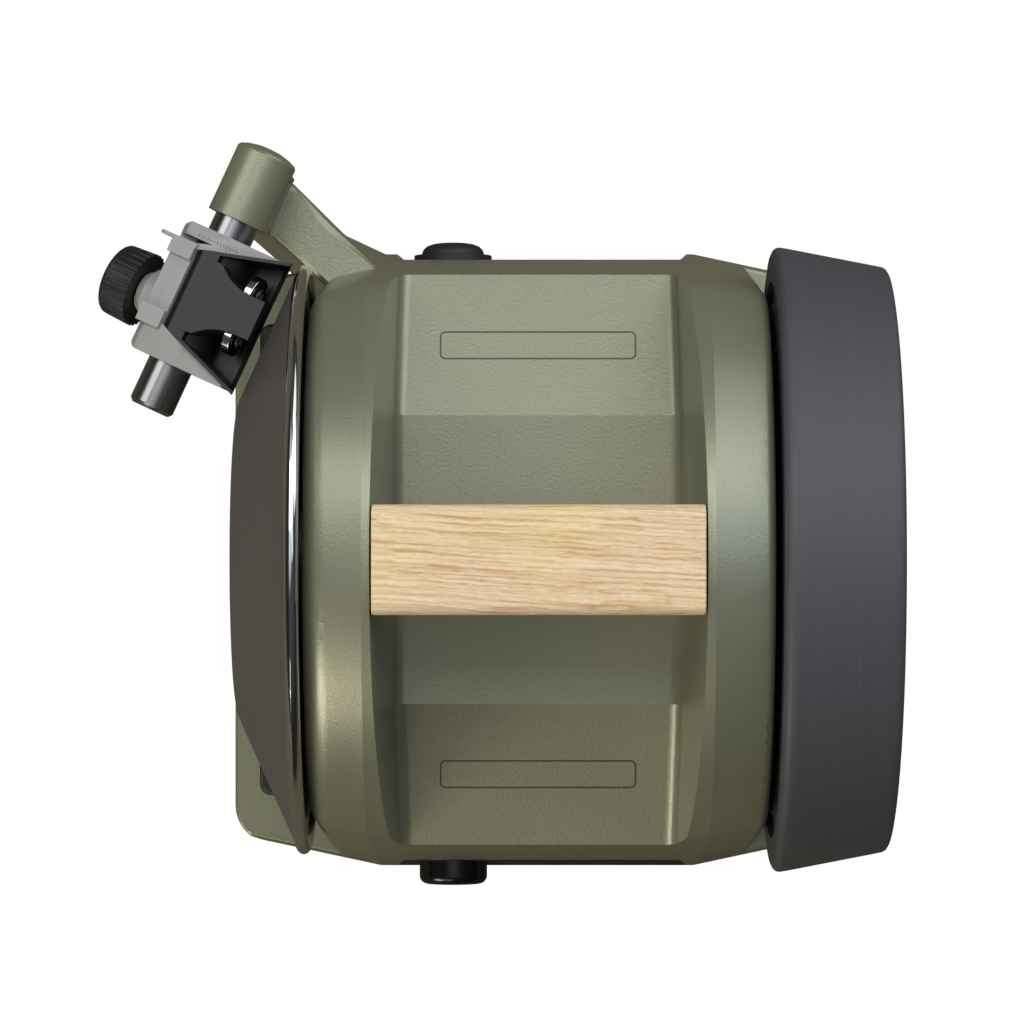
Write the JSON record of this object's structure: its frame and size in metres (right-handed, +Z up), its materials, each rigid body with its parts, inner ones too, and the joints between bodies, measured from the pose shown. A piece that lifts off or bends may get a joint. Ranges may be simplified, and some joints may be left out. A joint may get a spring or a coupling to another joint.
{
  "type": "electric knife sharpener",
  "caption": "Bench-top electric knife sharpener with a diamond wheel, a honing wheel, a wooden carrying handle, a push switch and a tilting knife guide on a slanted shaft.",
  "frame": {"origin": "centre of the bounding box at the underside of the rubber feet", "axes": "+Z up, +X from the diamond wheel to the honing wheel along the wheel axis, -Y to the front with the push switch"},
  "size_m": [0.2057, 0.1987, 0.1799],
  "materials": {
    "housing_paint": "satin grey-green stove enamel on die-cast zinc",
    "black_panel": "matt black moulded panel",
    "black_gloss": "glossy black moulded button",
    "black_plastic": "moulded black nylon",
    "rubber": "black moulded rubber",
    "zinc_steel": "zinc-plated steel",
    "ground_steel": "ground and polished steel bar",
    "sheet_steel": "pressed steel sheet",
    "oak": "oiled light oak",
    "copper": "enamelled copper wire",
    "lamination": "stacked electrical steel",
    "bronze": "sintered bronze",
    "gear_steel": "machined steel",
    "gear_nylon": "natural nylon",
    "diamond": "steel disc with bonded diamond grit and a bright rim",
    "honing": "dark grey resilient honing compound",
    "grey_plastic": "light grey moulded plastic"
  },
  "bodies": {
    "machine": {"housing": "housing_paint", "front_panel": "black_panel", "switch_body": "black_plastic", "cable_gland": "black_plastic", "bottom_cover": "sheet_steel", "cover_screws": "zinc_steel", "rubber_feet": "rubber", "magnet_strip": "black_panel", "handle": "oak", "handle_screws": "zinc_steel", "shaft_bearing_right": "gear_steel", "shaft_bearing_left": "gear_steel", "gearbox_plate": "sheet_steel", "gear_arbor": "gear_steel", "motor_stator": "lamination", "motor_windings": "copper", "motor_bracket_right": "sheet_steel", "motor_bracket_left": "sheet_steel", "motor_bushes": "bronze", "motor_spacers": "zinc_steel", "motor_bolts": "zinc_steel", "guide_shaft": "ground_steel"},
    "wheel_shaft": {"main_shaft": "ground_steel", "main_gear": "gear_steel", "diamond_wheel": "diamond", "diamond_wheel_nut": "zinc_steel", "honing_wheel": "honing", "honing_wheel_washer": "zinc_steel", "honing_wheel_nut": "zinc_steel"},
    "middle_gear": {"middle_gear": "gear_nylon"},
    "rotor": {"motor_rotor": "gear_steel", "motor_pinion": "gear_steel"},
    "guide_carriage": {"guide_bush": "black_plastic"},
    "guide_head": {"guide_yoke": "grey_plastic", "guide_insert": "black_plastic", "pointer_leaf": "grey_plastic"},
    "clamp_knob": {"angle_knob": "black_plastic", "clamp_screw": "gear_steel"},
    "roller_near": {"guide_roller_near": "zinc_steel"},
    "roller_far": {"guide_roller_far": "zinc_steel"},
    "power_button": {"switch_button": "black_gloss"}
  },
  "joints": [
    {"name": "wheel_spin", "type": "hinge", "parent": "machine", "child": "wheel_shaft", "pos_m": [0.01238, -0.00962, 0.0985], "axis": [1, 0, 0], "continuous": true},
    {"name": "middle_gear_spin", "type": "hinge", "parent": "machine", "child": "middle_gear", "pos_m": [0.05538, 0.01254, 0.06887], "axis": [1, 0, 0], "continuous": true},
    {"name": "motor_spin", "type": "hinge", "parent": "machine", "child": "rotor", "pos_m": [0.01238, -0.00962, 0.0405], "axis": [1, 0, 0], "continuous": true},
    {"name": "guide_slide", "type": "slide", "parent": "machine", "child": "guide_carriage", "axis": [-0.4206, -0.9073, 0], "range_m": [0, 0.012]},
    {"name": "guide_tilt", "type": "hinge", "parent": "guide_carriage", "child": "guide_head", "pos_m": [-0.07542, 0.05878, 0.0985], "axis": [-0.4206, -0.9073, 0], "range_deg": [-6.5, 2]},
    {"name": "knob_turn", "type": "hinge", "parent": "guide_head", "child": "clamp_knob", "pos_m": [-0.09436, 0.0626, 0.09166], "axis": [-0.8525, 0.3952, -0.342], "range_deg": [0, 180]},
    {"name": "roller_near_spin", "type": "hinge", "parent": "guide_head", "child": "roller_near", "pos_m": [-0.06114, 0.05877, 0.10822], "axis": [0.8525, -0.3952, 0.342], "continuous": true},
    {"name": "roller_far_spin", "type": "hinge", "parent": "guide_head", "child": "roller_far", "pos_m": [-0.06619, 0.04789, 0.10822], "axis": [0.8525, -0.3952, 0.342], "continuous": true},
    {"name": "switch_press", "type": "slide", "parent": "machine", "child": "power_button", "axis": [0, 1, 0], "range_m": [0, 0.0025], "stiffness_N_per_m": 600}
  ],
  "couplings": [
    {"joint": "middle_gear_spin", "follows": "wheel_spin", "ratio": -4.2857},
    {"joint": "motor_spin", "follows": "wheel_spin", "ratio": 21.429}
  ]
}
